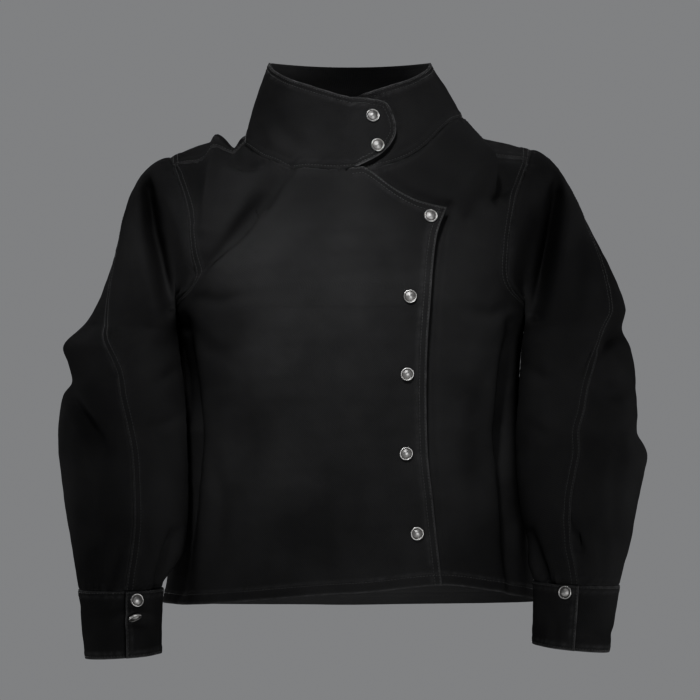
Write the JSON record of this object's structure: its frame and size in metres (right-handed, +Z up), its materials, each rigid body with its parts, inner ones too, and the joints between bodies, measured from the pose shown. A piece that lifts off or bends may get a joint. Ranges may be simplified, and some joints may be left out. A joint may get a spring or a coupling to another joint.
{
  "type": "denim jacket",
  "caption": "Cropped wrap-front denim jacket with a tall stand collar that closes over to one side, press studs down the overlapping edge and two-piece sleeves with cuffs.",
  "frame": {"origin": "between the shoulders, at the height where the collar meets them, where a wearer carries it", "axes": "+X to the wearer's left, +Y to the back, +Z up"},
  "size_m": [0.6263, 0.2409, 0.6353],
  "materials": {
    "denim": "washed black denim twill",
    "stud_metal": "polished nickel plate"
  },
  "bodies": {
    "root": {"back": "denim", "collar": "denim", "cuff_left": "denim", "cuff_right": "denim", "front_left": "denim", "front_right": "denim", "sleeve_under_left": "denim", "sleeve_under_right": "denim", "sleeve_upper_left": "denim", "sleeve_upper_right": "denim", "stud_collar_1": "stud_metal", "stud_collar_2": "stud_metal", "stud_cuff_left_1": "stud_metal", "stud_cuff_right_1": "stud_metal", "stud_cuff_right_2": "stud_metal", "stud_front_1": "stud_metal", "stud_front_2": "stud_metal", "stud_front_3": "stud_metal", "stud_front_4": "stud_metal", "stud_front_5": "stud_metal"}
  },
  "joints": []
}
